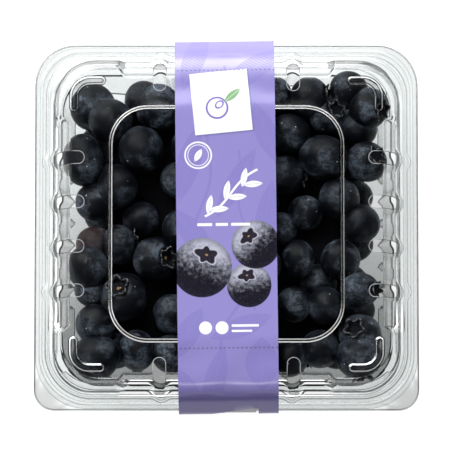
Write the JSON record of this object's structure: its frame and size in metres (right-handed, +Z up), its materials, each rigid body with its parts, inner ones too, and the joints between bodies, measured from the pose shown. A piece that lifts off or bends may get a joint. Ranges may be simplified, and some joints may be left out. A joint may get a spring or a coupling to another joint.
{
  "type": "clamshell punnet of blueberries",
  "caption": "Shut clear clamshell punnet full of blueberries, with a vented lid and a printed lilac paper band round its middle.",
  "frame": {"origin": "centre of the whole at the underside of the feet", "axes": "+X across the pack, +Y from the front tabs to the hinge, +Z up from the feet to the lid"},
  "size_m": [0.115, 0.1126, 0.0362],
  "materials": {
    "clear_plastic": "clear, glossy, thermoformed",
    "berry_skin": "matt, with a waxy bloom",
    "printed_paper": "satin print"
  },
  "bodies": {
    "root": {"clamshell": "clear_plastic", "berries": "berry_skin", "band": "printed_paper"}
  },
  "joints": []
}
